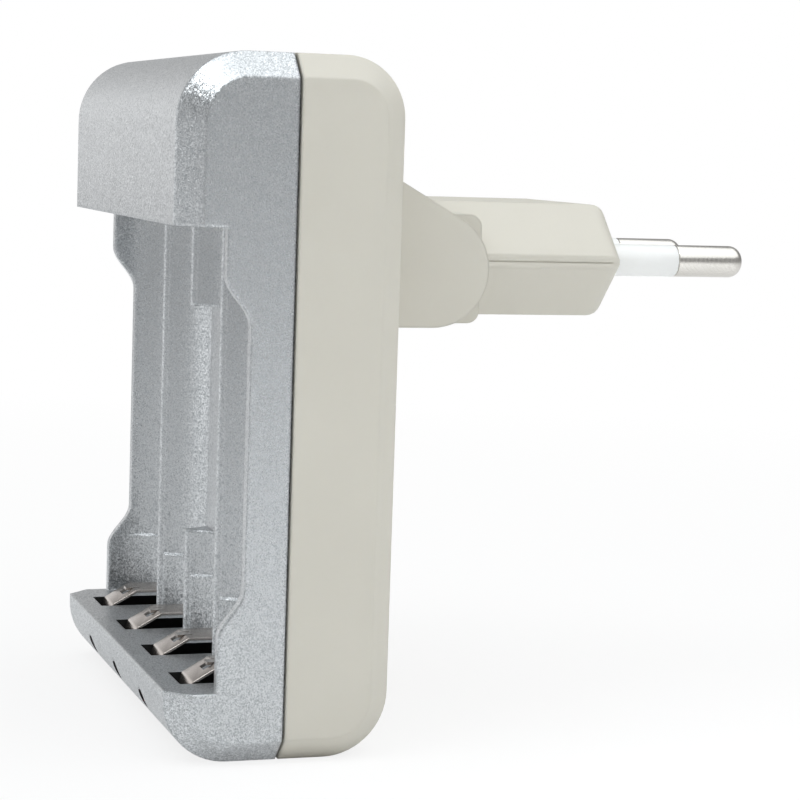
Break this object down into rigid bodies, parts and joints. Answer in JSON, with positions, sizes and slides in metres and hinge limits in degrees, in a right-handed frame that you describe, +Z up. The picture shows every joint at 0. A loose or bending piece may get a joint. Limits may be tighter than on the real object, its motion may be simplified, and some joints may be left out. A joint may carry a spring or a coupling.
{
  "type": "battery charger",
  "caption": "Plug-in battery charger with open bays for round cells, sprung contacts, lamps in the lower edge and a mains plug that folds against its back.",
  "frame": {"origin": "middle of the flat base, in the plane of the seam between the two shells", "axes": "+X to the right seen from the bays' open side, +Y out of the back along the plug's pins, +Z up"},
  "size_m": [0.0636, 0.0783, 0.08],
  "materials": {
    "silver_paint": "silver metallic paint on moulded plastic",
    "cream_abs": "fine-grained moulded plastic, warm off-white",
    "white_nylon": "smooth white sleeve",
    "nickel_plate": "nickel plate",
    "spring_brass": "rolled spring strip",
    "red_epoxy": "tinted clear resin",
    "tinned_wire": "tinned wire",
    "zinc_steel": "zinc plated steel",
    "board_laminate": "solder mask on laminate",
    "ferrite": "sintered ferrite",
    "copper_winding": "enamelled wire under tape",
    "capacitor_sleeve": "shrunk plastic sleeve over a can"
  },
  "bodies": {
    "housing": {"front_shell": "silver_paint", "rear_shell": "cream_abs", "circuit_board": "board_laminate", "transformer_core": "ferrite", "transformer_coil": "copper_winding", "mains_capacitor": "capacitor_sleeve", "output_capacitor": "capacitor_sleeve", "mains_spring_left": "spring_brass", "mains_spring_right": "spring_brass", "led_left": "red_epoxy", "led_centre": "red_epoxy", "led_right": "red_epoxy", "led_leads": "tinned_wire", "case_screws": "zinc_steel", "positive_contact_1": "nickel_plate", "positive_contact_2": "nickel_plate", "positive_contact_3": "nickel_plate", "positive_contact_4": "nickel_plate"},
    "plug": {"plug_body": "cream_abs", "plug_pin_left": "nickel_plate", "plug_pin_right": "nickel_plate", "pin_sleeve_left": "white_nylon", "pin_sleeve_right": "white_nylon"},
    "leaf_1": {"negative_contact_1": "nickel_plate"},
    "leaf_2": {"negative_contact_2": "nickel_plate"},
    "leaf_3": {"negative_contact_3": "nickel_plate"},
    "leaf_4": {"negative_contact_4": "nickel_plate"}
  },
  "joints": [
    {"name": "plug_fold", "type": "hinge", "parent": "housing", "child": "plug", "pos_m": [0, 0.02, 0.0557], "axis": [-1, 0, 0], "range_deg": [0, 90]},
    {"name": "contact_press_1", "type": "hinge", "parent": "housing", "child": "leaf_1", "pos_m": [-0.0231, 0.00575, 0.0052], "axis": [1, 0, 0], "range_deg": [0, 5], "stiffness_Nm_per_rad": 0.3},
    {"name": "contact_press_2", "type": "hinge", "parent": "housing", "child": "leaf_2", "pos_m": [-0.0077, 0.00575, 0.0052], "axis": [1, 0, 0], "range_deg": [0, 5], "stiffness_Nm_per_rad": 0.3},
    {"name": "contact_press_3", "type": "hinge", "parent": "housing", "child": "leaf_3", "pos_m": [0.0077, 0.00575, 0.0052], "axis": [1, 0, 0], "range_deg": [0, 5], "stiffness_Nm_per_rad": 0.3},
    {"name": "contact_press_4", "type": "hinge", "parent": "housing", "child": "leaf_4", "pos_m": [0.0231, 0.00575, 0.0052], "axis": [1, 0, 0], "range_deg": [0, 5], "stiffness_Nm_per_rad": 0.3}
  ]
}
